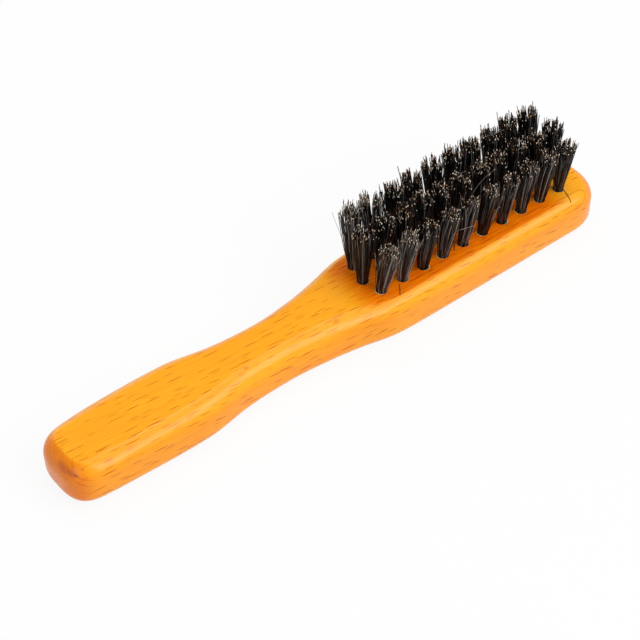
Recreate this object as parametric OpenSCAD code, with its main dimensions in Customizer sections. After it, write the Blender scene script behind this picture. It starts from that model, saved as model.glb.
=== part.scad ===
// Hand brush: a one-piece wooden body with three rows of bristle tufts.
// The brush lies on its back: +X runs to the head, +Z up the bristles.
// The origin is under the middle of the body, on the surface it lies on.

/* [Body] */
// Length of the wooden body
body_len = 175; // [172:1:185]
// Thickness of the handle and of the head
body_t = 12.8; // [12:0.2:16]
// Greatest width of the head
head_w = 27.4; // [26:0.2:32]
// Greatest width of the handle
handle_w = 22.2; // [20:0.2:25]
// Least width, at the neck
neck_w = 17.2; // [15:0.2:19]
// How far the neck's face lies below the head's
neck_dip = 0.7; // [0:0.1:1]

/* [Ends and edges] */
// Length of the handle's rounded end
handle_end = 9; // [8:0.5:12]
// Squareness of the handle's end, where 2 is an ellipse
handle_end_power = 3; // [2:0.1:3.2]
// Length of the head's rounded end
head_end = 12; // [10:0.5:14]
// Squareness of the head's end, where 2 is an ellipse
head_end_power = 2.5; // [2:0.1:3]
// Width of the rounding along the face's edge on the head and the handle's end
face_round = 3.3; // [2:0.1:3.6]
// Width of the rounding along the face's edge on the neck
neck_round = 4; // [2:0.1:4.2]
// Height of the face's rounding for each millimetre of its width
round_ratio = 1.5; // [1:0.1:1.6]
// Angle of the crease where the face's rounding meets the face
crease = 14; // [0:1:20]
// Radius of the rounding along the back's edge
back_round = 3.8; // [1:0.1:4]

/* [Tuft holes] */
// Diameter of a tuft hole
hole_d = 3; // [2.6:0.1:3.4]
// Depth of a tuft hole
hole_depth = 8; // [6:0.5:9]
// Distance from the head's end to the middle of the rows
field_mid = 44.5; // [43.5:0.5:46]
// Distance from the middle row to each outer row
row_gap = 5.8; // [5:0.1:6.4]
// Tufts in each outer row
outer_count = 10; // [6:1:10]
// Spacing of the tufts in an outer row
outer_pitch = 7.2; // [6:0.1:7.3]
// Tufts in the middle row
middle_count = 11; // [7:1:11]
// Spacing of the tufts in the middle row
middle_pitch = 6.8; // [6:0.1:7]

/* [Bristles] */
// Height of the longest bristles above the face, at the middle of the rows
bristle_h = 18; // [12:0.5:20]
// How much higher each row is trimmed than the row on its right
row_rise = 1.5; // [0:0.1:2]
// How much higher the last tufts are trimmed than the middle ones
end_rise = 0.8; // [0:0.1:1.5]
// Share of that height by which a bristle may be shorter
bristle_uneven = 0.08; // [0:0.01:0.15]
// Radius of a tuft across its tips
tip_r = 2.9; // [1.5:0.1:2.9]
// How far the tips of an outer row lean outwards
row_lean = 2; // [0:0.1:3]
// How far the tips of the first and last tufts lean away from the middle, or below 0 towards it
end_lean = -0.5; // [-0.6:0.1:2]
// Thickness of a bristle strand at its foot
strand_d = 0.4; // [0.3:0.05:0.4]
// Thickness of a bristle strand at its tip
strand_tip_d = 0.28; // [0.1:0.02:0.3]

/* [Anchors] */
// Length of the flat wire across its hole
anchor_len = 3.6; // [3.5:0.1:4]
// Thickness of the flat wire
anchor_t = 0.35; // [0.25:0.05:0.5]
// Height of the flat wire
anchor_h = 1.8; // [1.2:0.1:2]
// Height of the wire's lower edge above the bottom of its hole
anchor_lift = 0.8; // [0.6:0.1:1.5]
// Angle of the wire to the grain
anchor_angle = 30; // [0:5:45]

/* [Hidden] */
WOOD = "#e2901f";
BRISTLE = "#2b221d";
WIRE = "#b9b4a6";

// Stations along the body as shares of its length, from the handle's end to the head's
HANDLE_END = 0;
HANDLE_SWELL = 0.08;
DIP_START = 0.17;
HANDLE_WIDEST = 0.22;
NECK_START = 0.3;
NECK_LEAST = 0.38;
NECK_FLARE = 0.445;
SHOULDER_START = 0.5;
DIP_END = 0.53;
SHOULDER = 0.555;
HEAD_START = 0.61;
HEAD_END = 1;

// Half widths at those stations
handle_half = handle_w / 2;
neck_half = neck_w / 2;
head_half = head_w / 2;
HALF_WIDTHS = [
    [HANDLE_END, 0.86 * handle_half],
    [HANDLE_SWELL, 0.95 * handle_half],
    [HANDLE_WIDEST, handle_half],
    [NECK_START, between(neck_half, handle_half, 0.2)],
    [NECK_LEAST, neck_half],
    [NECK_FLARE, between(neck_half, head_half, 0.18)],
    [SHOULDER_START, between(neck_half, head_half, 0.47)],
    [SHOULDER, between(neck_half, head_half, 0.88)],
    [HEAD_START, between(neck_half, head_half, 0.98)],
    [HEAD_END, head_half]
];

// Heights of the face and widths of its rounding, level between eased steps
FACE_HEIGHTS = [
    [HANDLE_END, body_t],
    [DIP_START, body_t],
    [NECK_LEAST, body_t - neck_dip],
    [DIP_END, body_t],
    [HEAD_END, body_t]
];
FACE_ROUNDS = [
    [HANDLE_END, face_round],
    [HANDLE_WIDEST, neck_round],
    [NECK_FLARE, neck_round],
    [SHOULDER, face_round],
    [HEAD_END, face_round]
];

// Steps that the rounded surfaces are divided into
END_STEPS = 10;
SIDE_STEPS = 34;
FACE_STEPS = 6;
BACK_STEPS = 4;

// Clearances of a tuft's root and of a wire, and how far a cut runs past a surface
ROOT_GAP = 0.03;
WIRE_GAP = 0.02;
PAST = 1;
// Sides that a hole and a tuft's root are drawn with
HOLE_SIDES = 48;
ROOT_SIDES = 8;

// A tuft's strands stand in rings of [count, share of the tuft's radius, first angle]
STRAND_RINGS = [[1, 0, 0], [3, 0.5, 30], [7, 1, 0]];
// Every strand of a tuft as [share of the tuft's radius, angle]
STRANDS = [
    for (ring = STRAND_RINGS, k = [0:ring[0] - 1])
        [ring[1], ring[2] + 360 * k / ring[0]]
];
STRAND_SIDES = 3;
// Turn from one tuft's strands to the next
TUFT_TURN = 40;
// Seed of the middle row's strand lengths, and its step to the next row's
FIRST_SEED = 50;
ROW_STEP = 20;
// Radius of the outer ring of strands where they leave the root, inside a narrow rim
FOOT_RIM = 0.2;
foot_r = hole_d / 2 - strand_d / 2 - FOOT_RIM;
// How far the strands reach down into the root
STRAND_BED = 0.6;
// Heights along a strand with the share of its lean and flare reached there
STRAND_BEND = [[0, 0], [0.4, 0.28], [1, 1]];

// Rows as [name, y, count, pitch, which way its tips lean]
ROWS = [
    ["right_tuft_", -row_gap, outer_count, outer_pitch, -1],
    ["middle_tuft_", 0, middle_count, middle_pitch, 0],
    ["left_tuft_", row_gap, outer_count, outer_pitch, 1]
];
// Every tuft as [name, x, y, lean in x, lean in y, number, height]
TUFTS = [
    for (row = ROWS, i = [1:row[2]])
        let (middle = (row[2] + 1) / 2, along = (i - middle) / (middle - 1))
        [
            str(row[0], i < 10 ? "0" : "", i),
            body_len / 2 - field_mid + (i - middle) * row[3],
            row[1],
            along * end_lean,
            row[4] * row_lean,
            i + ROW_STEP * row[4],
            bristle_h + row[4] * row_rise + along * end_rise
        ]
];

function between(a, b, share) = a + (b - a) * share;

// The interval of a table of [position, value] that holds a position
function interval(table, at, i = 0) =
    i >= len(table) - 2 || at < table[i + 1][0] ? i : interval(table, at, i + 1);

// Share of its interval that a position has passed
function passed(table, at, i) =
    (at - table[i][0]) / (table[i + 1][0] - table[i][0]);

// Slope of a smooth curve at one of its stations, from the stations beside it
function slope(table, i) =
    let (a = table[max(i - 1, 0)], b = table[min(i + 1, len(table) - 1)])
    (b[1] - a[1]) / (b[0] - a[0]);

// Smooth curve through all the stations of a table
function curve(table, at) =
    let (
        i = interval(table, at),
        t = passed(table, at, i),
        run = table[i + 1][0] - table[i][0]
    )
    (2 * t ^ 3 - 3 * t ^ 2 + 1) * table[i][1]
    + (t ^ 3 - 2 * t ^ 2 + t) * run * slope(table, i)
    + (3 * t ^ 2 - 2 * t ^ 3) * table[i + 1][1]
    + (t ^ 3 - t ^ 2) * run * slope(table, i + 1);

// Level stretches of a table joined by eased steps
function eased(table, at) =
    let (i = interval(table, at), t = passed(table, at, i))
    between(table[i][1], table[i + 1][1], t * t * (3 - 2 * t));

// Outline of the body, from the handle's tip along one side to the head's tip and back
function rounded_x(reach, power, a) = reach * (1 - cos(a) ^ (2 / power));
function rounded_y(power, a) = sin(a) ^ (2 / power);
function outline_point(x, share) = [x, share * curve(HALF_WIDTHS, x / body_len)];
function end_angle(k) = 90 * k / END_STEPS;
side_half = concat(
    [
        for (k = [0:END_STEPS])
            outline_point(
                rounded_x(handle_end, handle_end_power, end_angle(k)),
                rounded_y(handle_end_power, end_angle(k))
            )
    ],
    [
        for (k = [1:SIDE_STEPS - 1])
            outline_point(between(handle_end, body_len - head_end, k / SIDE_STEPS), 1)
    ],
    [
        for (k = [END_STEPS:-1:0])
            outline_point(
                body_len - rounded_x(head_end, head_end_power, end_angle(k)),
                rounded_y(head_end_power, end_angle(k))
            )
    ]
);
last = len(side_half) - 1;
outline = concat(
    side_half,
    [for (i = [last - 1:-1:1]) [side_half[i].x, -side_half[i].y]]
);
count = len(outline);

// Direction into the body at a point of the outline
function inward(i) =
    let (step = outline[(i + 1) % count] - outline[(i + count - 1) % count])
    [step.y, -step.x] / norm(step);
function moved_in(i, inset) = outline[i] + inset * inward(i);

// The face's rounding is an ellipse's arc, cut short so that it meets the face at the crease
arc_end = acos(tan(crease) / (round_ratio - tan(crease)));

// Rings round the body: up the back's rounding, then up the face's
function back_ring(a) = [
    for (i = [0:count - 1])
        let (p = moved_in(i, back_round * (1 - sin(a))))
        [p.x, p.y, back_round * (1 - cos(a))]
];
function face_ring(a) = [
    for (i = [0:count - 1])
        let (
            wide = eased(FACE_ROUNDS, outline[i].x / body_len),
            p = moved_in(i, wide * (1 - cos(a)) / (1 - cos(arc_end))),
            drop = round_ratio * wide * (1 - sin(a) / sin(arc_end))
        )
        [p.x, p.y, eased(FACE_HEIGHTS, p.x / body_len) - drop]
];
rings = concat(
    [for (k = [0:BACK_STEPS]) back_ring(90 * k / BACK_STEPS)],
    [for (k = [0:FACE_STEPS]) face_ring(arc_end * k / FACE_STEPS)]
);

// Triangles between one ring and the next, and across the first and last rings
function side_faces(ring) = [
    for (i = [0:count - 1])
        let (
            a = ring * count + i,
            b = ring * count + (i + 1) % count
        )
        each [[a, b, b + count], [a, b + count, a + count]]
];
function face_triangles(first) = concat(
    [[first, first + 1, first + count - 1]],
    [
        for (i = [1:last - 2])
            let (
                a = first + i,
                b = first + count - i
            )
            each [[a, a + 1, b - 1], [a, b - 1, b]]
    ],
    [[first + last - 1, first + last, first + last + 1]]
);
function turned(triangles) = [for (t = triangles) [t[2], t[1], t[0]]];

module blank() {
    faces = concat(
        turned(face_triangles(0)),
        [for (ring = [0:len(rings) - 2]) each side_faces(ring)],
        face_triangles((len(rings) - 1) * count)
    );
    translate([-body_len / 2, 0, 0])
        polyhedron([for (ring = rings) each ring], faces, convexity = 6);
}

// Flat wire in the bottom of one tuft's hole, or the room that it takes
module wire(tuft, gap) {
    translate([tuft[1], tuft[2], body_t - hole_depth + anchor_lift + anchor_h / 2])
        rotate([0, 0, anchor_angle])
            cube([anchor_len + 2 * gap, anchor_t + 2 * gap, anchor_h + 2 * gap], center = true);
}

module wooden_body() {
    color(WOOD) difference() {
        blank();
        for (tuft = TUFTS) {
            translate([tuft[1], tuft[2], body_t - hole_depth])
                cylinder(h = hole_depth + PAST, d = hole_d, $fn = HOLE_SIDES);
            wire(tuft, WIRE_GAP);
        }
    }
}

module anchor_wires() {
    color(WIRE) for (tuft = TUFTS) wire(tuft, 0);
}

// One strand: a three-sided spike through the places in its list, thinning to the tip
module strand(places, turn) {
    steps = len(places) - 1;
    points = [
        for (k = [0:steps], s = [0:STRAND_SIDES - 1])
            let (
                r = between(strand_d, strand_tip_d, places[k].z / places[steps].z) / 2,
                a = turn + 360 * s / STRAND_SIDES
            )
            places[k] + [r * cos(a), r * sin(a), 0]
    ];
    faces = [
        for (k = [0:steps - 1], s = [0:STRAND_SIDES - 1])
            let (
                a = k * STRAND_SIDES + s,
                b = k * STRAND_SIDES + (s + 1) % STRAND_SIDES
            )
            each [[a, a + STRAND_SIDES, b + STRAND_SIDES], [a, b + STRAND_SIDES, b]]
    ];
    top = steps * STRAND_SIDES;
    polyhedron(points, concat([[0, 1, 2]], faces, [[top + 2, top + 1, top]]));
}

// One tuft: its root in the hole, notched for the wire, and the strands that stand on it
module bristle_tuft(tuft) {
    shorter = rands(0, bristle_uneven, len(STRANDS), tuft[5] + FIRST_SEED);
    color(BRISTLE) union() {
        difference() {
            translate([tuft[1], tuft[2], body_t - hole_depth])
                cylinder(h = hole_depth, d = hole_d - 2 * ROOT_GAP, $fn = ROOT_SIDES);
            wire(tuft, WIRE_GAP);
        }
        translate([tuft[1], tuft[2], body_t - STRAND_BED])
            for (i = [0:len(STRANDS) - 1])
                let (
                    turn = STRANDS[i][1] + TUFT_TURN * tuft[5],
                    out = STRANDS[i][0] * [cos(turn), sin(turn), 0],
                    lean = [tuft[3], tuft[4], 0],
                    h = tuft[6] * (1 - shorter[i]) + STRAND_BED
                )
                strand(
                    [
                        for (bend = STRAND_BEND)
                            out * between(foot_r, tip_r, bend[1])
                            + lean * bend[1]
                            + [0, 0, h * bend[0]]
                    ],
                    turn
                );
    }
}

wooden_body();
for (tuft = TUFTS)
    bristle_tuft(tuft);
anchor_wires();
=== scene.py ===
import math

import bpy
import numpy as np
from mathutils import Matrix, Vector


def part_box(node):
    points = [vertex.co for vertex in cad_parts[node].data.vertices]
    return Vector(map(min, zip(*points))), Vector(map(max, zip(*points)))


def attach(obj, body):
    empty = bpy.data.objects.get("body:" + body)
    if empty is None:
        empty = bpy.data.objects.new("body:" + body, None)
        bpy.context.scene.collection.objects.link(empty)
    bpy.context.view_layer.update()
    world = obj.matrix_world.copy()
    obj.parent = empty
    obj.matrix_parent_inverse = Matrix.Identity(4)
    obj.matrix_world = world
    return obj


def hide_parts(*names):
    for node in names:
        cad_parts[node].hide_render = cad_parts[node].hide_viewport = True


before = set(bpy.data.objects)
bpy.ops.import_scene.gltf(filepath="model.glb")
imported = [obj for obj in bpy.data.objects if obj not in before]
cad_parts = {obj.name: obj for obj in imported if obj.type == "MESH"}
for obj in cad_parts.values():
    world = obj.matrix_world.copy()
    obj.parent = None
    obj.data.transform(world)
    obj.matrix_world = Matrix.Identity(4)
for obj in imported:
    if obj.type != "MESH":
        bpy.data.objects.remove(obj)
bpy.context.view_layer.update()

# Shapes are worked out in millimetres and turned into metres when a mesh is made
MM = 0.001

# Wooden body: its driving sizes
BODY_LOW, BODY_HIGH = (np.array(corner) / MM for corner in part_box("wooden_body"))
BODY_LEN = BODY_HIGH[0] - BODY_LOW[0]
FACE_Z = BODY_HIGH[2]
HEAD_HALF = BODY_HIGH[1]
HANDLE_HALF = 11.1
NECK_HALF = 8.6
NECK_DIP = 0.7
BACK_ROUND = 3.8
# Lengths of the rounded ends, and how square they are
HANDLE_END, HANDLE_END_POWER = 9, 3
HEAD_END, HEAD_END_POWER = 12, 2.5
# Widths of the rounding along the face's edge, and its heights for each millimetre of width
FACE_ROUND = 3.3
HANDLE_ROUND = 3.6
NECK_ROUND = 4.2
TIP_RATIO = 1.7
HANDLE_RATIO = 1.2
NECK_RATIO = 1.4
HEAD_RATIO = 1.35
# Tilts at which the rounding leaves the flat face, and the width over which this crease is softened
TIP_CREASE = math.radians(26)
CREASE = math.radians(14)
CREASE_SOFT = 0.6
# Places along the body, as shares of its length from the handle's end
HANDLE_WIDEST = 0.22
NECK_MIDDLE = 0.38
NECK_FLARE = 0.445
SHOULDER = 0.555


def between(a, b, share):
    return a + (b - a) * share


# Half widths, face heights and edge roundings at places along the body
HALF_WIDTHS = [
    (0, 0.86 * HANDLE_HALF),
    (0.08, 0.95 * HANDLE_HALF),
    (HANDLE_WIDEST, HANDLE_HALF),
    (0.3, between(NECK_HALF, HANDLE_HALF, 0.2)),
    (NECK_MIDDLE, NECK_HALF),
    (NECK_FLARE, between(NECK_HALF, HEAD_HALF, 0.18)),
    (0.5, between(NECK_HALF, HEAD_HALF, 0.47)),
    (SHOULDER, between(NECK_HALF, HEAD_HALF, 0.88)),
    (0.61, between(NECK_HALF, HEAD_HALF, 0.98)),
    (1, HEAD_HALF),
]
FACE_HEIGHTS = [
    (0, FACE_Z),
    (0.17, FACE_Z),
    (NECK_MIDDLE, FACE_Z - NECK_DIP),
    (0.53, FACE_Z),
    (1, FACE_Z),
]
FACE_ROUNDS = [
    (0, FACE_ROUND),
    (0.02, FACE_ROUND),
    (0.08, HANDLE_ROUND),
    (HANDLE_WIDEST, NECK_ROUND),
    (NECK_FLARE, NECK_ROUND),
    (SHOULDER, FACE_ROUND),
    (1, FACE_ROUND),
]
ROUND_RATIOS = [
    (0, TIP_RATIO),
    (0.01, TIP_RATIO),
    (0.075, HANDLE_RATIO),
    (HANDLE_WIDEST, HANDLE_RATIO),
    (NECK_MIDDLE, NECK_RATIO),
    (SHOULDER, HEAD_RATIO),
    (1, HEAD_RATIO),
]
CREASES = [(0, TIP_CREASE), (0.03, TIP_CREASE), (0.1, CREASE), (1, CREASE)]

# Steps that the rounded surfaces are divided into, and the angle above which an edge stays crisp
END_STEPS = 40
SIDE_STEPS = 220
FACE_STEPS = 14
BACK_STEPS = 10
SHARP_ANGLE = math.radians(30)

# Tuft holes: straight bores, each with a broken edge of bare wood
HOLE_R = 1.56
HOLE_DEPTH = 8
HOLE_SIDES = 40
HOLE_SEED = 3
# Least and greatest size of a broken edge, its shift off the middle, and the direction of the shift
HOLE_EDGES = (0.08, 0.26)
EDGE_SHIFTS = (0.1, 0.5)
EDGE_TURNS = (math.radians(-190), math.radians(-50))

# Bristles of one tuft: number, thickness, and the shares of the length where a hair's points lie
HAIRS = 180
HAIR_SIDES = 5
HAIR_R = 0.105
HAIR_TIP_R = 0.095
TAPER_POWER = 3
HAIR_THICKNESSES = (0.8, 1.15)
HAIR_STEPS = np.array([0, 0.12, 0.3, 0.5, 0.7, 0.86, 0.955, 0.98, 1.0])
HAIR_SHARP_ANGLE = math.radians(50)
FIRST_SEED = 7
# A direction that no hair runs along, which fixes how the sides of a hair are turned
HAIR_SIDEWAYS = (0.3, 1, 0.1)
# Slices of a CAD tuft that show its root and its tips: a height from its foot, and a share of the way up
ROOT_SLICE = 0.1
TIP_SLICE = 0.8
# Spread of the hairs: radius and depth in the hole, radius at the tips, and how unevenly they flare
ROOT_R = 1.44
ROOT_DEPTH = 5
TIP_R = {"right": 2.85, "middle": 3.2, "left": 3.4}
FLARES = (0.85, 1.15)
STRAY_SHARE = 0.06
STRAY_FLARE = 1.45
LEAN_SPREAD = 0.18
# Parts of a hair's way outwards that it goes evenly and that it goes mostly near its tip
EVEN_REACH = 0.8
LATE_REACH = 0.2
BEND_SPREAD = 0.3
# Clumps that the tips gather in
CLUMPS = 10
CLUMP_SPREAD = 0.55
CLUMP_PULL = 0.3
# Heights of the trimmed tips against the CAD strands: rise, unevenness, fall to the rim, and short hairs
TRIM_RISE = 0.2
TRIM_SPREAD = 0.85
TRIM_FALL = 0.7
SHORT_SHARE = 0.06
SHORT_LENGTHS = (0.75, 0.95)
# Tone of each row's palest hair, lower in the middle and left rows as painted shade, and how much paler
# it is in the two tufts nearest the neck as painted light from the handle's side
ROW_PALEST_WITH_SHADE = {"right": 1.02, "middle": 0.9, "left": 0.88}
FIRST_TUFTS = ("_01", "_02")
FIRST_TUFTS_PAINTED_LIGHT = {"right": 0.5, "middle": 0, "left": 0.4}

# Long stray hairs: the tuft each grows from, its tone, and its way as offsets from the tuft's root
STRAYS = [
    ("left_tuft_06", 1.4, [
        (1.2, 1.2, 10), (3, 2.6, 16.6), (9, 2.2, 18.3), (15, 1.3, 18.4), (20.6, 0.9, 17.9),
    ]),
    ("right_tuft_05", 0.86, [(0.8, -0.3, 9), (2.5, 0, 16), (8, 1.6, 17.2), (13.5, 3.2, 16.5)]),
    ("right_tuft_04", 1.0, [(0.2, -1.2, 5), (1.2, -2.9, 9.2), (4, -3.9, 9.6), (6.8, -4.5, 9.3)]),
    ("left_tuft_01", 1.0, [(-0.2, 2.2, 4), (-0.5, 5.2, 9), (-0.7, 8, 14)]),
]
STRAY_STEPS = 24
STRAY_R = 0.05
# Cut hairs that lie on the face, as places of their two ends; they stop short of a hair's tip
FACE_HAIRS = [
    ((76, -7.5), (74.4, -12)),
    ((15.6, -7.2), (12.9, -10.5)),
    ((37.5, -4.5), (35.4, -6.7)),
]
FACE_HAIR_R = 0.09
FACE_HAIR_TONE = 0.5
FACE_HAIR_SHARE = 0.9

# Camera, fitted to the photograph: angles, then places in millimetres
VIEW_TURN = math.radians(38.315)
VIEW_HEIGHT = math.radians(44.322)
VIEW_ROLL = math.radians(-0.918)
VIEW_DISTANCE = 426.3
VIEW_AIM = (-4.695, 1.128, 5.926)
LENS = 91.1
SENSOR = 36
CLIP_START = 10

# Lamps aimed at the middle of the brush: place, width and height in millimetres, and power
LAMPS = {
    "top": ((336, -100, 1090), (1190, 1190), 4.2),
    "edge": ((412, -791, 795), (1040, 540), 7.1),
    "left": ((-700, -200, 330), (500, 500), 1.2),
    "far": ((-60, 740, 300), (600, 600), 1.3),
    "crest": ((345, 240, 680), (150, 150), 0.15),
    "handle_crest": ((184, 255, 721), (150, 150), 0.28),
    "low": ((50, -690, 350), (170, 270), 0.55),
}

# Sockets of a mix node when it mixes colours
MIX_SHARE, MIX_FIRST, MIX_SECOND, MIX_RESULT = 0, 6, 7, 2


def set_inputs(tree, node, inputs):
    """Fills inputs of a shader node: a socket is linked to its input, any other value is set."""
    for name, value in inputs.items():
        if isinstance(value, bpy.types.NodeSocket):
            tree.links.new(value, node.inputs[name])
        else:
            node.inputs[name].default_value = value


def put(tree, kind, inputs=None, **settings):
    """A new shader node with its settings and inputs."""
    made = tree.nodes.new(kind)
    for name, value in settings.items():
        setattr(made, name, value)
    set_inputs(tree, made, inputs or {})
    return made


def maths(tree, operation, *values):
    node = put(tree, "ShaderNodeMath", dict(enumerate(values)), operation=operation)
    return node.outputs[0]


def product(tree, first, *others):
    for other in others:
        first = maths(tree, "MULTIPLY", first, other)
    return first


def vector_maths(tree, operation, *values):
    node = put(tree, "ShaderNodeVectorMath", dict(enumerate(values)), operation=operation)
    return node.outputs[0]


def length(tree, vector):
    return put(tree, "ShaderNodeVectorMath", {0: vector}, operation="LENGTH").outputs["Value"]


def split(tree, vector):
    """The three numbers of a vector."""
    return put(tree, "ShaderNodeSeparateXYZ", {0: vector}).outputs


def ramp(tree, value, start, end):
    """0 where the value is at start, 1 at end, eased between."""
    settings = {"Value": value, "From Min": start, "From Max": end}
    node = put(tree, "ShaderNodeMapRange", settings, interpolation_type="SMOOTHSTEP")
    return node.outputs[0]


def mixed(tree, share, first, second, blend="MIX"):
    """The first colour with a share of the second mixed in, or blended over it."""
    inputs = {MIX_SHARE: share, MIX_FIRST: first, MIX_SECOND: second}
    node = put(tree, "ShaderNodeMix", inputs, data_type="RGBA", blend_type=blend)
    return node.outputs[MIX_RESULT]


def between_sockets(tree, first, second, share):
    """Number that goes from the first to the second as the share goes from 0 to 1."""
    return maths(tree, "MULTIPLY_ADD", maths(tree, "SUBTRACT", second, first), share, first)


def rgb(red, green, blue):
    return (red, green, blue, 1)


def cleared_tree(owner):
    """The emptied shader tree of a material or a world."""
    owner.use_nodes = True
    owner.node_tree.nodes.clear()
    return owner.node_tree


def new_material(name):
    """A material with its shader tree and its one shader."""
    material = bpy.data.materials.new(name)
    tree = cleared_tree(material)
    shader = put(tree, "ShaderNodeBsdfPrincipled")
    put(tree, "ShaderNodeOutputMaterial", {"Surface": shader.outputs[0]})
    return material, tree, shader


# The wood's own axes: along the grain, and out across the growth rings
GRAIN = Vector((1, -0.07, -0.02)).normalized()
ACROSS_RINGS = Vector((-0.024, -0.585, 0.811))
ALONG_RINGS = ACROSS_RINGS.cross(GRAIN).normalized()
# A place that a growth ring passes through, where it turns round the head's near corner
RING_PLACE = Vector((77.3, -11.5, 11.65))


def millimetres(tree):
    """Places on a piece in millimetres."""
    place = put(tree, "ShaderNodeTexCoord").outputs["Object"]
    return put(tree, "ShaderNodeVectorMath", {0: place, "Scale": 1 / MM}, operation="SCALE").outputs[0]


def grain_place(tree):
    """Places in millimetres along the grain, along the rings and across them."""
    axes = Matrix((GRAIN, ALONG_RINGS, GRAIN.cross(ALONG_RINGS))).transposed()
    inputs = {"Vector": millimetres(tree), "Location": RING_PLACE, "Rotation": axes.to_euler()}
    return put(tree, "ShaderNodeMapping", inputs, vector_type="TEXTURE").outputs[0]


def stretched_noise(tree, place, cell, detail=2.0):
    """Soft noise in patches of about the cell's size."""
    stretched = vector_maths(tree, "DIVIDE", place, cell)
    inputs = {"Vector": stretched, "Scale": 1, "Detail": detail}
    return put(tree, "ShaderNodeTexNoise", inputs).outputs[0]


# Each row of flecks is shifted by this share of a cell, and each fleck scattered in its cell
FLECK_ROW_SHIFT = 0.4
FLECK_SCATTER = 0.8
# Strength of the faintest fleck, and the share of its reach where a fleck starts to fade
FAINTEST_FLECK = 0.55
FLECK_FADE = 0.6
# Short and long flecks: the cell that each has to itself, and its reach, along the wood's own axes
FLECK_LAYERS = [
    ((5.4, 1.5, 4), (1.9, 0.095, 1.7)),
    ((8, 2, 5), (2.7, 0.11, 2.1)),
]
# Alignments of the surface with the ray plates between which the flecks fade in
PLATE_FACING = (0.96, 0.86)


def sheared(tree, place, slope):
    """Places pushed along the grain by so much for each millimetre along the rings."""
    along, across, level = split(tree, place)
    pushed = maths(tree, "MULTIPLY_ADD", across, slope, along)
    return put(tree, "ShaderNodeCombineXYZ", {0: pushed, 1: across, 2: level}).outputs[0]


def fleck_layer(tree, place, cell, reach):
    """Thin ray plates, one in each cell, that show as dark dashes of various strength."""
    slope = FLECK_ROW_SHIFT * cell[0] / cell[1]
    stretched = vector_maths(tree, "DIVIDE", sheared(tree, place, slope), cell)
    inputs = {"Vector": stretched, "Scale": 1, "Randomness": FLECK_SCATTER}
    cells = put(tree, "ShaderNodeTexVoronoi", inputs).outputs
    off = vector_maths(tree, "SUBTRACT", stretched, cells["Position"])
    off = sheared(tree, vector_maths(tree, "MULTIPLY", off, cell), -slope)
    far = length(tree, vector_maths(tree, "DIVIDE", off, reach))
    pick = put(tree, "ShaderNodeSeparateColor", {"Color": cells["Color"]}).outputs[1]
    strength = maths(tree, "MULTIPLY_ADD", pick, 1 - FAINTEST_FLECK, FAINTEST_FLECK)
    return product(tree, ramp(tree, far, 1, FLECK_FADE), strength)


def ray_flecks(tree, place, normal):
    """Flecks where the surface cuts across the ray plates, none where it lies along them."""
    short, long = (fleck_layer(tree, place, *layer) for layer in FLECK_LAYERS)
    along = put(tree, "ShaderNodeVectorMath", {0: normal, 1: ALONG_RINGS}, operation="DOT_PRODUCT")
    cut_across = ramp(tree, maths(tree, "ABSOLUTE", along.outputs["Value"]), *PLATE_FACING)
    return product(tree, maths(tree, "MAXIMUM", short, long), cut_across)


# Growth rings along the wood: their gap, waves, the line's place in the gap, and patches where they show
LONG_RINGS = {
    "gap": 3.3,
    "wave_cell": (40, 8, 8),
    "wave": 0.25,
    "line": (0.84, 0.95),
    "patch_cell": (18, 6, 6),
    "patch": (0.4, 0.6),
}
# The same for the finer rings that the cut ends show
END_RINGS = {
    "gap": 1.1,
    "wave_cell": (40, 3, 3),
    "wave": 0.9,
    "line": (0.6, 0.95),
    "patch_cell": (40, 4, 2),
    "patch": (0.35, 0.65),
}
# Distances from its place at which the corner's ring ends and is full, along the wood's own axes
CORNER_REACHES = [(8, 4), (10, 7), (0.2, 0.08)]


def ring_lines(tree, place, gap, wave_cell, wave, line, patch_cell, patch):
    """Darker lines of the growth rings, wavy and here and there faded."""
    level = split(tree, place)[2]
    waves = product(tree, stretched_noise(tree, place, wave_cell), wave)
    count = maths(tree, "ADD", maths(tree, "DIVIDE", level, gap), waves)
    lines = ramp(tree, maths(tree, "FRACT", count), *line)
    return product(tree, lines, ramp(tree, stretched_noise(tree, place, patch_cell), *patch))


def corner_ring(tree, place):
    """The one clear ring, which turns round the head's near corner."""
    shares = []
    for off, reach in zip(split(tree, place), CORNER_REACHES):
        shares.append(ramp(tree, maths(tree, "ABSOLUTE", off), *reach))
    return product(tree, *shares)


# Reddish stains in the wood: middle, reach in each direction and strength
STAINS = [
    ((-86.1, -2.8, 10.7), (2, 3.6, 1.9), 0.55),
    ((-85.7, -5.0, 10.6), (1.7, 3.2, 1.4), 0.65),
    ((-85.3, -6.5, 10.5), (0.9, 1.6, 0.6), 1.0),
    ((-83.6, -7.2, 12.0), (0.8, 0.5, 0.5), 0.6),
    ((-33.7, -5.4, 12.1), (1.5, 0.8, 2), 0.35),
    ((-35.8, -6.2, 12.0), (1.6, 0.7, 2), 0.2),
    ((-5.8, -6.9, 12.2), (1.6, 0.9, 2), 0.4),
    ((-70.8, -8.9, 11.8), (2.4, 0.8, 1.2), 0.2),
    ((-53.8, -9.3, 11.6), (2.2, 0.8, 1.2), 0.27),
    ((-58.0, -9.8, 11.1), (2.2, 0.8, 1.2), 0.22),
    ((-77.2, -8.9, 11.5), (2.2, 0.8, 1.2), 0.18),
]
# Shares of its reach at which a soft patch ends and is full
SOFT_EDGE = (1, 0.1)
# Middle of the tuft rows, how far they reach, and how far the painted shade among them fades out
SHADE_FIELD_MIDDLE = (38, 0, 0)
SHADE_FIELD_REACH = (29, 9, 100)
SHADE_FIELD_FADE = (9, 6, 6)


def stains(tree):
    """1 in the middle of a strong stain, 0 on clean wood."""
    place = millimetres(tree)
    total = 0
    for middle, reach, strength in STAINS:
        off = vector_maths(tree, "DIVIDE", vector_maths(tree, "SUBTRACT", place, middle), reach)
        spot = product(tree, ramp(tree, length(tree, off), *SOFT_EDGE), strength)
        total = maths(tree, "MAXIMUM", spot, total)
    return total


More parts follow.
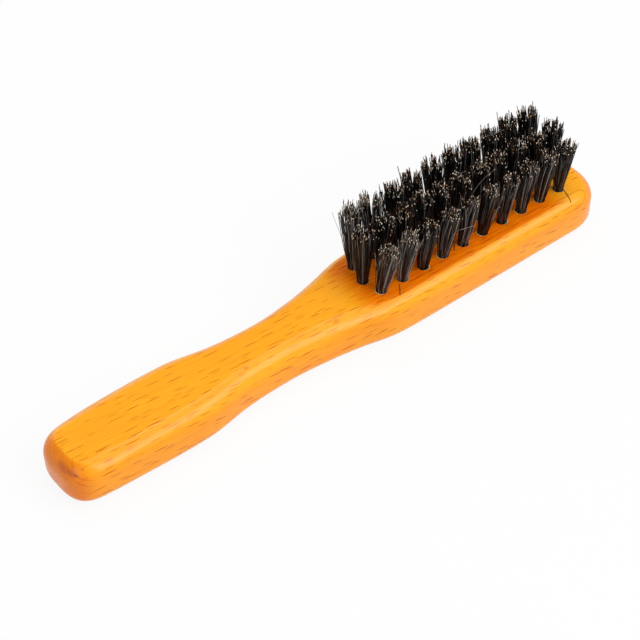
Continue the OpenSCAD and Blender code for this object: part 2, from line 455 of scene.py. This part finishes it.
def painted_shade_field(tree):
    """Where the painted shade of the tufts lies: 1 among the tufts, falling to 0 a little way outside
    the rows.
    """
    off = vector_maths(tree, "SUBTRACT", millimetres(tree), SHADE_FIELD_MIDDLE)
    past = vector_maths(tree, "SUBTRACT", vector_maths(tree, "ABSOLUTE", off), SHADE_FIELD_REACH)
    outside = vector_maths(tree, "MAXIMUM", past, (0, 0, 0))
    far = length(tree, vector_maths(tree, "DIVIDE", outside, SHADE_FIELD_FADE))
    return ramp(tree, far, *SOFT_EDGE)


# Grain of the varnished wood: sizes of its patches on the wood's axes, and their shares of the tone
STREAK_CELL, STREAK_SHARE = (26, 0.4, 2), 0.4
FIBRE_CELL, FIBRE_SHARE = (9, 0.3, 0.6), 0.35
CLOUD_CELL, CLOUD_SHARE = (40, 9, 9), 0.25
# Levels of detail in the noise of fine grain
FINE_DETAIL = 3
# Tones between which the wood goes from pale to dark amber
AMBER_TONES = (0.28, 0.72)
PALE_AMBER = rgb(0.98, 0.437, 0.014)
DARK_AMBER = rgb(0.94, 0.318, 0.0085)
# Colours of the growth rings and flecks, and how strongly they cover the wood
RING_BROWN = rgb(0.62, 0.19, 0.004)
FAINT_RING = 0.4
RING_COVER = 0.45
FLECK_BROWN = rgb(0.42, 0.02, 0.0001)
FLECK_COVER = 0.95
# Upward facing between which the sides take on a painted shade that darkens them a little
SIDE_FACING = (0.6, 0.2)
SIDE_SHADE = rgb(1, 0.9, 0.8)
# Endward facing between which the end grain sets in, with its colours and cover; the darker brown is
# partly the end grain's own colour and partly painted shade on the ends
END_FACING = (0.1, 0.7)
END_BROWN_AND_SHADE = rgb(0.84, 0.2, 0.001)
END_AND_SHADE_COVER = 0.85
END_RING_BROWN = rgb(0.5, 0.08, 0.001)
END_RING_COVER = 0.5
# Colour of the stains, and how the fibres break them up
STAIN_RED = rgb(0.42, 0.058, 0.018)
STAIN_LEAST = 0.6
STAIN_FIBRES = 0.8
# Upward facing of the flat face, and the colours of the painted shade that the tufts cast on it
FLAT_FACING = (0.9, 0.975)
TUFT_SHADE_FIBRES = (0.35, 0.65)
TUFT_SHADE_PALE = rgb(1, 0.6, 0.08)
TUFT_SHADE_DARK = rgb(0.88, 0.37, 0.05)
# Gloss of the varnish: roughness, what the streaks and the end grain add to it, and strength
VARNISH_ROUGH = 0.16
STREAK_ROUGH = 0.1
END_ROUGH = 0.05
VARNISH_SPECULAR = 0.27
# Depth of the flecks in millimetres, and how strongly it shows
FLECK_DEPTH = 0.1
FLECK_BUMP = 0.04


def grain_colour(tree, place, streaks, fibres):
    """Pale to dark amber along the grain, with the lines of the growth rings."""
    cloud = stretched_noise(tree, place, CLOUD_CELL)
    tone = maths(tree, "ADD", product(tree, streaks, STREAK_SHARE), product(tree, cloud, CLOUD_SHARE))
    tone = maths(tree, "MULTIPLY_ADD", fibres, FIBRE_SHARE, tone)
    colour = mixed(tree, ramp(tree, tone, *AMBER_TONES), PALE_AMBER, DARK_AMBER)
    faint = product(tree, ring_lines(tree, place, **LONG_RINGS), FAINT_RING)
    lines = maths(tree, "MAXIMUM", faint, corner_ring(tree, place))
    return mixed(tree, product(tree, lines, RING_COVER), colour, RING_BROWN)


def with_end_grain_and_shade(tree, colour, place, end_grain_and_shade):
    """Darker wood with fine rings where the body is cut across the grain; the darkening is partly the
    end grain's own colour and partly painted shade.
    """
    colour = mixed(tree, product(tree, end_grain_and_shade, END_AND_SHADE_COVER), colour, END_BROWN_AND_SHADE)
    lines = product(tree, ring_lines(tree, place, **END_RINGS), end_grain_and_shade, END_RING_COVER)
    return mixed(tree, lines, colour, END_RING_BROWN)


def with_stains(tree, colour, fibres):
    """Reddish stains, stronger on some fibres than on others."""
    broken = maths(tree, "MULTIPLY_ADD", fibres, STAIN_FIBRES, STAIN_LEAST)
    return mixed(tree, product(tree, stains(tree), broken), colour, STAIN_RED)


def with_painted_tuft_shade(tree, colour, upward, fibres):
    """Painted shade on the flat face among the tufts, standing in for their shadow and their dark
    reflection in the varnish.
    """
    tuft_shade = product(tree, ramp(tree, upward, *FLAT_FACING), painted_shade_field(tree))
    shade = mixed(tree, ramp(tree, fibres, *TUFT_SHADE_FIBRES), TUFT_SHADE_PALE, TUFT_SHADE_DARK)
    return mixed(tree, tuft_shade, colour, shade, "MULTIPLY")


def varnished_beech():
    """Amber varnish over beech: fine grain, growth rings, brown flecks, darker end grain that is partly
    painted shade, and painted shade on the sides and among the tufts.
    """
    material, tree, shader = new_material("varnished_beech")
    place = grain_place(tree)
    normal = put(tree, "ShaderNodeNewGeometry").outputs["Normal"]
    endward, _, upward = split(tree, normal)
    end_grain_and_shade = ramp(tree, maths(tree, "ABSOLUTE", endward), *END_FACING)
    side = ramp(tree, maths(tree, "ABSOLUTE", upward), *SIDE_FACING)
    streaks = stretched_noise(tree, place, STREAK_CELL, FINE_DETAIL)
    fibres = stretched_noise(tree, place, FIBRE_CELL, FINE_DETAIL)
    flecks = ray_flecks(tree, place, normal)
    colour = grain_colour(tree, place, streaks, fibres)
    colour = mixed(tree, product(tree, flecks, FLECK_COVER), colour, FLECK_BROWN)
    # Painted shade that darkens the sides a little
    colour = mixed(tree, side, colour, SIDE_SHADE, "MULTIPLY")
    # End grain, darkened partly by its own colour and partly by painted shade
    colour = with_end_grain_and_shade(tree, colour, place, end_grain_and_shade)
    colour = with_stains(tree, colour, fibres)
    # Painted shade on the flat face among the tufts
    colour = with_painted_tuft_shade(tree, colour, upward, fibres)
    rough = maths(tree, "MULTIPLY_ADD", streaks, STREAK_ROUGH, VARNISH_ROUGH)
    rough = maths(tree, "MULTIPLY_ADD", end_grain_and_shade, END_ROUGH, rough)
    dents = {"Height": flecks, "Strength": FLECK_BUMP, "Distance": -FLECK_DEPTH * MM}
    set_inputs(tree, shader, {
        "Base Color": colour,
        "Roughness": rough,
        "Normal": put(tree, "ShaderNodeBump", dents).outputs[0],
        "Specular IOR Level": VARNISH_SPECULAR,
    })
    return material


# Bare wood: size of its fibres along the wood's own axes, its two colours and its roughness
BARE_CELL = (3, 0.25, 0.25)
BARE_DARK = rgb(0.85, 0.55, 0.2)
BARE_PALE = rgb(1, 0.75, 0.36)
BARE_ROUGH = 0.75


def bare_wood():
    """Pale unvarnished wood at the broken edges and in the bores of the tuft holes."""
    material, tree, shader = new_material("bare_wood")
    fibres = stretched_noise(tree, grain_place(tree), BARE_CELL, FINE_DETAIL)
    colour = mixed(tree, fibres, BARE_DARK, BARE_PALE)
    set_inputs(tree, shader, {"Base Color": colour, "Roughness": BARE_ROUGH})
    return material


# Tones between which the hairs' shafts go from black to grey and on to a paler grey; the grey is partly
# the hairs' own colour and partly painted highlight streaks
GREY_TONES = (0.7, 1.0)
PALE_TONES = (1.0, 1.6)
SHAFT_BLACK = rgb(0.004, 0.004, 0.004)
SHAFT_GREY_AND_SHEEN = rgb(0.24, 0.23, 0.22)
SHAFT_PALE = rgb(0.3, 0.28, 0.26)
# Shares of the length where the tip sets in, and picks between which tips are dark, brown and pale
TIP_START = (0.978, 0.986)
TIP_SHUFFLE = 13.7
BROWN_PICKS = (0.52, 0.66)
PALE_PICKS = (0.66, 0.85)
TIP_DARK = rgb(0.03, 0.014, 0.008)
TIP_BROWN = rgb(0.5, 0.25, 0.11)
TIP_PALE = rgb(0.98, 0.85, 0.68)
# Gloss of the hairs: roughness of the darkest, what a hair's tone adds to it, and strength
HAIR_ROUGH = 0.3
TONE_ROUGH = 0.12
HAIR_SPECULAR = 0.4


def attribute(tree, name):
    return put(tree, "ShaderNodeAttribute", attribute_name=name).outputs["Fac"]


def bristle_material():
    """Dark natural bristle, grey in part as painted highlight streaks, some of it with paler tips."""
    material, tree, shader = new_material("bristle")
    tone = attribute(tree, "tone")
    # Grey shafts: partly the hairs' own colour, partly painted highlight streaks
    shaft = mixed(tree, ramp(tree, tone, *GREY_TONES), SHAFT_BLACK, SHAFT_GREY_AND_SHEEN)
    shaft = mixed(tree, ramp(tree, tone, *PALE_TONES), shaft, SHAFT_PALE)
    pick = maths(tree, "FRACT", product(tree, tone, TIP_SHUFFLE))
    tip = mixed(tree, ramp(tree, pick, *BROWN_PICKS), TIP_DARK, TIP_BROWN)
    tip = mixed(tree, ramp(tree, pick, *PALE_PICKS), tip, TIP_PALE)
    set_inputs(tree, shader, {
        "Base Color": mixed(tree, ramp(tree, attribute(tree, "along"), *TIP_START), shaft, tip),
        "Roughness": maths(tree, "MULTIPLY_ADD", tone, TONE_ROUGH, HAIR_ROUGH),
        "Specular IOR Level": HAIR_SPECULAR,
    })
    return material


# Drawn wire: fineness of its lines, its two colours, its roughness and what the lines add to it
WIRE_LINES = 4000
WIRE_DARK = rgb(0.5, 0.48, 0.42)
WIRE_PALE = rgb(0.66, 0.64, 0.58)
WIRE_ROUGH = 0.25
LINE_ROUGH = 0.2


def anchor_metal():
    """Bright drawn wire."""
    material, tree, shader = new_material("anchor_wire")
    place = put(tree, "ShaderNodeTexCoord").outputs["Object"]
    lines = put(tree, "ShaderNodeTexNoise", {"Vector": place, "Scale": WIRE_LINES}).outputs[0]
    set_inputs(tree, shader, {
        "Base Color": mixed(tree, lines, WIRE_DARK, WIRE_PALE),
        "Roughness": maths(tree, "MULTIPLY_ADD", lines, LINE_ROUGH, WIRE_ROUGH),
        "Metallic": 1.0,
    })
    return material


def stations(table, at):
    """The places and values of a table, the interval that each position lies in and its share passed."""
    places, values = np.array(table, float).T
    i = np.clip(np.searchsorted(places, at, side="right") - 1, 0, len(places) - 2)
    return places, values, i, (at - places[i]) / (places[i + 1] - places[i])


def curve(table, at):
    """Smooth curve through all the stations of a table."""
    places, values, i, t = stations(table, at)
    before = np.maximum(np.arange(len(places)) - 1, 0)
    after = np.minimum(np.arange(len(places)) + 1, len(places) - 1)
    slopes = (values[after] - values[before]) / (places[after] - places[before])
    run = places[i + 1] - places[i]
    return (
        (2 * t**3 - 3 * t**2 + 1) * values[i]
        + (t**3 - 2 * t**2 + t) * run * slopes[i]
        + (3 * t**2 - 2 * t**3) * values[i + 1]
        + (t**3 - t**2) * run * slopes[i + 1]
    )


def eased(table, at):
    """Level stretches of a table joined by eased steps."""
    _, values, i, t = stations(table, at)
    return between(values[i], values[i + 1], t * t * (3 - 2 * t))


def rounded_end(reach, power):
    """Distances from a rounded end's tip, and the shares of the full width there."""
    angles = np.linspace(0, math.pi / 2, END_STEPS + 1)
    return reach * (1 - np.cos(angles).clip(0) ** (2 / power)), np.sin(angles) ** (2 / power)


def body_outline():
    """Outline from the handle's tip round by the head's, and the directions inward from it."""
    handle_x, handle_share = rounded_end(HANDLE_END, HANDLE_END_POWER)
    head_x, head_share = rounded_end(HEAD_END, HEAD_END_POWER)
    side = np.linspace(HANDLE_END, BODY_LEN - HEAD_END, SIDE_STEPS + 1)[1:-1]
    x = np.concatenate([handle_x, side, BODY_LEN - head_x[::-1]])
    share = np.concatenate([handle_share, np.ones(len(side)), head_share[::-1]])
    half = np.stack([x, share * curve(HALF_WIDTHS, x / BODY_LEN)], 1)
    outline = np.concatenate([half, half[-2:0:-1] * (1, -1)])
    step = np.roll(outline, -1, 0) - np.roll(outline, 1, 0)
    inward = np.stack([step[:, 1], -step[:, 0]], 1) / np.linalg.norm(step, axis=1)[:, None]
    return outline, inward


def face_ring(flat, drop):
    """A ring of points that lie so far below the face."""
    return np.column_stack([flat, eased(FACE_HEIGHTS, flat[:, 0] / BODY_LEN) - drop])


def body_rings():
    """Rings of points round the body: up the back's rounding, then up the face's."""
    outline, inward = body_outline()
    rings = []
    for angle in np.linspace(0, math.pi / 2, BACK_STEPS + 1):
        flat = outline + BACK_ROUND * (1 - math.sin(angle)) * inward
        height = np.full(len(flat), BACK_ROUND * (1 - math.cos(angle)))
        rings.append(np.column_stack([flat, height]))
    passed = outline[:, 0] / BODY_LEN
    wide = eased(FACE_ROUNDS, passed)
    ratio = eased(ROUND_RATIOS, passed)
    rise = np.tan(eased(CREASES, passed))
    arc_end = np.arccos(rise / (ratio - rise))
    for share in np.linspace(0, 1, FACE_STEPS + 1):
        reach = wide * (1 - np.cos(share * arc_end)) / (1 - np.cos(arc_end))
        drop = ratio * wide * (1 - np.sin(share * arc_end) / np.sin(arc_end))
        rings.append(face_ring(outline + reach[:, None] * inward, drop))
    rings.append(face_ring(outline + (wide + CREASE_SOFT)[:, None] * inward, 0))
    return np.array(rings) + (BODY_LOW[0], 0, 0)


def round_angles(count):
    return np.arange(count) * 2 * math.pi / count


def ring_quads(first, rings, size):
    """Quads between rings of so many points, which are numbered on from the first."""
    quads = []
    for start in range(first, first + (rings - 1) * size, size):
        for i in range(size):
            a, b = start + i, start + (i + 1) % size
            quads.append((a, b, b + size, a + size))
    return quads


def tube_faces(first, rings, size):
    """Quads between rings, and a face that closes each end."""
    last = first + (rings - 1) * size
    ends = [tuple(range(first + size - 1, first - 1, -1)), tuple(range(last, last + size))]
    return ring_quads(first, rings, size) + ends


def flat_strips(first, size):
    """Strips across a ring that starts at the handle's tip, from one side to the other."""
    half = size // 2
    strips = [(first, first + 1, first + size - 1)]
    for i in range(1, half - 1):
        strips.append((first + i, first + i + 1, first + size - i - 1, first + size - i))
    strips.append((first + half - 1, first + half, first + half + 1))
    return strips


def body_faces(rings, size):
    """Quads between the rings, and strips across the back and the face."""
    back = [strip[::-1] for strip in flat_strips(0, size)]
    return ring_quads(0, rings, size) + back + flat_strips((rings - 1) * size, size)


def mesh_object(name, points, faces, materials):
    """A mesh object from points in millimetres."""
    mesh = bpy.data.meshes.new(name)
    mesh.from_pydata((np.asarray(points) * MM).tolist(), [], faces)
    for material in materials:
        mesh.materials.append(material)
    made = bpy.data.objects.new(name, mesh)
    bpy.context.scene.collection.objects.link(made)
    return made


def smooth(piece, sharp):
    """Smooth shading, with edges kept crisp above an angle."""
    piece.data.shade_smooth()
    piece.data.set_sharp_from_angle(angle=sharp)


def hole_cutters(places, materials):
    """Solids that cut the tuft holes, with a cone of 45 degrees that breaks each hole's edge."""
    rng = np.random.default_rng(HOLE_SEED)
    angles = round_angles(HOLE_SIDES)
    circle = np.stack([np.cos(angles), np.sin(angles), np.zeros(HOLE_SIDES)], 1)
    points, faces = [], []
    for x, y in places:
        edge = rng.uniform(*HOLE_EDGES)
        off = rng.uniform(*EDGE_SHIFTS)
        turn = rng.uniform(*EDGE_TURNS)
        profile = [
            (HOLE_R, -HOLE_DEPTH, 0),
            (HOLE_R, -edge, 0),
            (HOLE_R + 2 * edge, edge, off),
        ]
        faces += tube_faces(len(points), len(profile), HOLE_SIDES)
        for radius, height, shift in profile:
            middle = (x + shift * math.cos(turn), y + shift * math.sin(turn), FACE_Z + height)
            points += (circle * radius + middle).tolist()
    cutters = mesh_object("hole_cutters", points, faces, materials)
    cutters.data.polygons.foreach_set("material_index", np.ones(len(faces), np.int32))
    return cutters


def cut(piece, cutters):
    """Takes the cutters out of a piece and deletes them."""
    modifier = piece.modifiers.new("holes", "BOOLEAN")
    modifier.operation = "DIFFERENCE"
    modifier.solver = "EXACT"
    modifier.object = cutters
    bpy.context.view_layer.update()
    result = piece.evaluated_get(bpy.context.evaluated_depsgraph_get())
    shape = bpy.data.meshes.new_from_object(result)
    piece.modifiers.clear()
    piece.data = shape
    bpy.data.objects.remove(cutters)


def make_body(tufts):
    """The varnished body with its tuft holes."""
    rings = body_rings()
    faces = body_faces(*rings.shape[:2])
    materials = [varnished_beech(), bare_wood()]
    body = mesh_object("wooden_brush_body", rings.reshape(-1, 3), faces, materials)
    cut(body, hole_cutters([tuft["root"] for tuft in tufts], materials))
    smooth(body, SHARP_ANGLE)
    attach(body, "root")
    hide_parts("wooden_body")
    return body


def tuft_places():
    """Each tuft's node, the middle of its root, how far its tips lean and how high they stand."""
    tufts = []
    for name in sorted(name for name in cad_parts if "_tuft_" in name):
        points = np.array([vertex.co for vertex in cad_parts[name].data.vertices]) / MM
        height = points[:, 2]
        bottom = points[height < height.min() + ROOT_SLICE, :2]
        root = (bottom.min(0) + bottom.max(0)) / 2
        tip = points[height > between(FACE_Z, height.max(), TIP_SLICE)].mean(0)
        tufts.append({"node": name, "root": root, "lean": tip[:2] - root, "height": tip[2] - FACE_Z})
    return tufts


def row_of(tuft):
    return tuft["node"].split("_")[0]


def hair_tubes(paths, radii):
    """Points and faces of closed tubes along paths of shape (hairs, steps, 3)."""
    count, steps, _ = paths.shape
    run = np.gradient(paths, axis=1)
    run /= np.linalg.norm(run, axis=2, keepdims=True)
    across = np.cross(run, HAIR_SIDEWAYS)
    across /= np.linalg.norm(across, axis=2, keepdims=True)
    up = np.cross(run, across)
    angles = round_angles(HAIR_SIDES)[:, None]
    ring = across[:, :, None] * np.cos(angles) + up[:, :, None] * np.sin(angles)
    points = paths[:, :, None] + ring * radii[:, :, None, None]
    faces = []
    for hair in range(count):
        faces += tube_faces(hair * steps * HAIR_SIDES, steps, HAIR_SIDES)
    return points.reshape(-1, 3), faces


def tuft_tips(tuft, rng):
    """Each hair's place in the tuft, out from its middle, and its tip's place from the tuft's root."""
    tip_r = TIP_R[row_of(tuft)]
    angle = rng.uniform(0, 2 * math.pi, HAIRS)
    share = np.sqrt(rng.uniform(0, 1, HAIRS))
    out = np.stack([np.cos(angle), np.sin(angle)], 1) * share[:, None]
    stray = rng.uniform(0, 1, HAIRS) < STRAY_SHARE
    flare = tip_r * np.where(stray, STRAY_FLARE, 1) * rng.uniform(*FLARES, HAIRS)
    tip = out * flare[:, None]
    clump = rng.normal(0, tip_r * CLUMP_SPREAD, (CLUMPS, 2))
    nearest = np.argmin(np.linalg.norm(tip[:, None] - clump[None], axis=2), 1)
    tip = between(tip, clump[nearest], CLUMP_PULL)
    return share, out, tip + tuft["lean"] + rng.normal(0, LEAN_SPREAD, 2)


def tuft_heights(tuft, share, rng):
    """How high each hair stands: trimmed unevenly, lower towards the rim, and a few cut short."""
    height = tuft["height"] + rng.normal(TRIM_RISE, TRIM_SPREAD, HAIRS) - TRIM_FALL * share**2
    short = rng.uniform(0, 1, HAIRS) < SHORT_SHARE
    return np.where(short, height * rng.uniform(*SHORT_LENGTHS, HAIRS), height)


def tuft_paths(tuft, rng):
    """Paths of a tuft's hairs, from close together in the hole to their spread and uneven tips."""
    share, out, tip = tuft_tips(tuft, rng)
    height = tuft_heights(tuft, share, rng)
    bend = rng.normal(0, BEND_SPREAD, (HAIRS, 2))
    t = HAIR_STEPS[None, :, None]
    reach = EVEN_REACH * t + LATE_REACH * t**2
    start = out[:, None] * ROOT_R
    flat = start + (tip - out * ROOT_R)[:, None] * reach + bend[:, None] * np.sin(math.pi * t)
    paths = np.concatenate([flat, height[:, None, None] * t], 2)
    foot = np.concatenate([start, np.full((HAIRS, 1, 1), -ROOT_DEPTH)], 2)
    return np.concatenate([foot, paths], 1) + (*tuft["root"], FACE_Z)


def smooth_path(points, steps):
    """Evenly spaced places on a smooth curve through the points."""
    points = np.array(points, float)
    knots = np.concatenate([[0], np.cumsum(np.linalg.norm(np.diff(points, axis=0), axis=1))])
    at = np.linspace(0, knots[-1], steps)
    return np.stack([curve(np.column_stack([knots, points[:, axis]]), at) for axis in range(3)], 1)


def stray_bundle(tuft, tone, offsets):
    """One long hair that leaves a tuft and lies over its neighbours."""
    way = np.array([(0, 0, -ROOT_DEPTH), (0, 0, 0), *offsets]) + (*tuft["root"], FACE_Z)
    path = smooth_path(way, STRAY_STEPS)[None]
    shares = np.linspace(0, 1, STRAY_STEPS)
    return path, np.full((1, STRAY_STEPS), STRAY_R), shares, np.array([tone])


def add_attribute(piece, name, values):
    """A number for each point of a piece, for its material to read."""
    layer = piece.data.attributes.new(name, "FLOAT", "POINT")
    layer.data.foreach_set("value", np.asarray(values, np.float32).ravel())


def hair_piece(name, bundles, material):
    """One mesh of several bundles of hairs, each as paths, radii, shares of the length and tones."""
    points, faces, along, tone = [], [], [], []
    for paths, radii, shares, tones in bundles:
        more, quads = hair_tubes(paths, radii)
        first = sum(len(part) for part in points)
        points.append(more)
        faces += [tuple(first + corner for corner in quad) for quad in quads]
        shape = (*radii.shape, HAIR_SIDES)
        along.append(np.broadcast_to(shares[None, :, None], shape).ravel())
        tone.append(np.broadcast_to(tones[:, None, None], shape).ravel())
    piece = mesh_object(name, np.concatenate(points), faces, [material])
    add_attribute(piece, "along", np.concatenate(along))
    add_attribute(piece, "tone", np.concatenate(tone))
    smooth(piece, HAIR_SHARP_ANGLE)
    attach(piece, "root")
    return piece


def make_tuft(tuft, seed, material):
    """The hairs of one tuft, with any long stray hairs that grow from it."""
    rng = np.random.default_rng(seed)
    paths = tuft_paths(tuft, rng)
    shares = np.concatenate([[0], HAIR_STEPS])
    thick = rng.uniform(*HAIR_THICKNESSES, (HAIRS, 1))
    radii = thick * between(HAIR_R, HAIR_TIP_R, shares**TAPER_POWER)[None]
    # Painted shade darkens the rows behind the front one; painted light makes the first tufts paler
    palest_lit_and_shaded = ROW_PALEST_WITH_SHADE[row_of(tuft)]
    if tuft["node"].endswith(FIRST_TUFTS):
        palest_lit_and_shaded += FIRST_TUFTS_PAINTED_LIGHT[row_of(tuft)]
    bundles = [(paths, radii, shares, rng.uniform(0, palest_lit_and_shaded, HAIRS))]
    for node, tone, offsets in STRAYS:
        if node == tuft["node"]:
            bundles.append(stray_bundle(tuft, tone, offsets))
    piece = hair_piece(tuft["node"] + "_bristles", bundles, material)
    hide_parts(tuft["node"])


def make_face_hairs(body, material):
    """Cut hairs lying on the wood beside the tufts."""
    bundles = []
    for start, end in FACE_HAIRS:
        path = []
        for share in np.linspace(0, 1, STRAY_STEPS):
            x, y = between(np.array(start), np.array(end), share)
            above = Vector((x, y, 2 * FACE_Z)) * MM
            _, place, normal, _ = body.ray_cast(above, Vector((0, 0, -1)))
            path.append(place / MM + normal * FACE_HAIR_R)
        radii = np.full((1, STRAY_STEPS), FACE_HAIR_R)
        shares = np.linspace(0, FACE_HAIR_SHARE, STRAY_STEPS)
        bundles.append((np.array(path)[None], radii, shares, np.array([FACE_HAIR_TONE])))
    hair_piece("loose_hairs", bundles, material)


def make_anchors():
    """Gives the CAD anchors their finish."""
    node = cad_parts["anchor_wires"]
    node.data.materials.clear()
    node.data.materials.append(anchor_metal())


def shown_to_eye(tree):
    """1 for rays that show the backdrop: from the camera, in gloss and through glass."""
    path = put(tree, "ShaderNodeLightPath").outputs
    seen = maths(tree, "MAXIMUM", path["Is Camera Ray"], path["Is Glossy Ray"])
    return maths(tree, "MAXIMUM", seen, path["Is Transmission Ray"])


WHITE = rgb(1, 1, 1)
# Half the floor's width, and how far it lies below the brush
FLOOR_REACH = 1500
FLOOR_GAP = 0.05
# Fineness and greys of the floor's speckle, and the share of plain white in what the eye is shown
SPECKLE = 90
FLOOR_DARK = rgb(0.8, 0.8, 0.8)
FLOOR_PALE = rgb(0.83, 0.83, 0.83)
FLOOR_GLOW = 0.9
# Rays that meet the floor within so many gaps go through it, so that light reaches the brush's back
TOUCHING_GAPS = 3


def floor_surface(tree):
    """Matt floor with a faint speckle, mostly plain white to the eye."""
    place = put(tree, "ShaderNodeTexCoord").outputs["Object"]
    speckle = put(tree, "ShaderNodeTexNoise", {"Vector": place, "Scale": SPECKLE}).outputs[0]
    colour = mixed(tree, speckle, FLOOR_DARK, FLOOR_PALE)
    matt = put(tree, "ShaderNodeBsdfDiffuse", {"Color": colour}).outputs[0]
    glow = put(tree, "ShaderNodeEmission", {"Color": WHITE, "Strength": 1.0}).outputs[0]
    share = product(tree, shown_to_eye(tree), FLOOR_GLOW)
    return put(tree, "ShaderNodeMixShader", {0: share, 1: matt, 2: glow}).outputs[0]


def floor_material():
    """The floor's surface, clear from below and for rays that start next to it."""
    material = bpy.data.materials.new("floor")
    tree = cleared_tree(material)
    surface = floor_surface(tree)
    clear = put(tree, "ShaderNodeBsdfTransparent").outputs[0]
    below = put(tree, "ShaderNodeNewGeometry").outputs["Backfacing"]
    way = put(tree, "ShaderNodeLightPath").outputs["Ray Length"]
    touching = maths(tree, "LESS_THAN", way, TOUCHING_GAPS * FLOOR_GAP * MM)
    open_share = maths(tree, "MAXIMUM", below, touching)
    shown = put(tree, "ShaderNodeMixShader", {0: open_share, 1: surface, 2: clear})
    put(tree, "ShaderNodeOutputMaterial", {"Surface": shown.outputs[0]})
    return material


def make_floor():
    """Pale floor that keeps a soft shadow."""
    corners = [(-1, -1), (1, -1), (1, 1), (-1, 1)]
    points = [(x * FLOOR_REACH, y * FLOOR_REACH, -FLOOR_GAP) for x, y in corners]
    floor = mesh_object("floor", points, [(0, 1, 2, 3)], [floor_material()])


# Light that the sky gives at the horizon, and what it gains between two heights of a direction
HORIZON_LIGHT = 0.13
SKY_GAINS = [((0.2, 0.65), -0.06), ((-0.1, -0.3), 0.9), ((0.35, 0.75), 0.44)]
# Heights between which the backdrop dims from white, and how much it dims
BACKDROP_HEIGHTS = (0.2, 0.65)
BACKDROP_DIMMING = -0.8


def make_world():
    """Soft light, most of it from above and below, and for the eye a backdrop that dims overhead."""
    world = bpy.data.worlds.new("studio")
    bpy.context.scene.world = world
    tree = cleared_tree(world)
    direction = put(tree, "ShaderNodeTexCoord").outputs["Generated"]
    height = split(tree, direction)[2]
    light = HORIZON_LIGHT
    for heights, gain in SKY_GAINS:
        light = maths(tree, "MULTIPLY_ADD", ramp(tree, height, *heights), gain, light)
    dimming = ramp(tree, height, *BACKDROP_HEIGHTS)
    backdrop = maths(tree, "MULTIPLY_ADD", dimming, BACKDROP_DIMMING, 1)
    strength = between_sockets(tree, light, backdrop, shown_to_eye(tree))
    sky = put(tree, "ShaderNodeBackground", {"Color": WHITE, "Strength": strength})
    put(tree, "ShaderNodeOutputWorld", {"Surface": sky.outputs[0]})


def add_softbox(name, place, size, power):
    """A lamp aimed at the middle of the brush; its place, width and height in millimetres."""
    lamp = bpy.data.lights.new(name, "AREA")
    lamp.shape = "RECTANGLE"
    lamp.size, lamp.size_y = (side * MM for side in size)
    lamp.energy = power
    made = bpy.data.objects.new(name, lamp)
    made.location = Vector(place) * MM
    made.rotation_euler = (-Vector(place)).to_track_quat("-Z", "Y").to_euler()
    bpy.context.scene.collection.objects.link(made)


def make_camera():
    """A camera that stands where the photograph's did."""
    turned = Vector((math.sin(VIEW_TURN), math.cos(VIEW_TURN), 0))
    right = Vector((math.cos(VIEW_TURN), -math.sin(VIEW_TURN), 0))
    back = Vector((0, 0, math.sin(VIEW_HEIGHT))) - turned * math.cos(VIEW_HEIGHT)
    up = turned * math.sin(VIEW_HEIGHT) + Vector((0, 0, math.cos(VIEW_HEIGHT)))
    rolled_right = right * math.cos(VIEW_ROLL) + up * math.sin(VIEW_ROLL)
    rolled_up = up * math.cos(VIEW_ROLL) - right * math.sin(VIEW_ROLL)
    lens = bpy.data.cameras.new("camera")
    lens.lens = LENS
    lens.sensor_width = SENSOR
    lens.clip_start = CLIP_START * MM
    camera = bpy.data.objects.new("camera", lens)
    place = Vector(VIEW_AIM) + back * VIEW_DISTANCE
    axes = Matrix((rolled_right, rolled_up, back)).transposed()
    camera.matrix_world = Matrix.Translation(place * MM) @ axes.to_4x4()
    bpy.context.scene.collection.objects.link(camera)
    bpy.context.scene.camera = camera


bpy.context.scene.view_settings.view_transform = "Standard"
make_camera()
make_world()
make_floor()
for lamp_name, settings in LAMPS.items():
    add_softbox(lamp_name, *settings)

tufts = tuft_places()
body = make_body(tufts)
bristle = bristle_material()
for number, tuft in enumerate(tufts):
    make_tuft(tuft, FIRST_SEED + number, bristle)
make_face_hairs(body, bristle)
make_anchors()
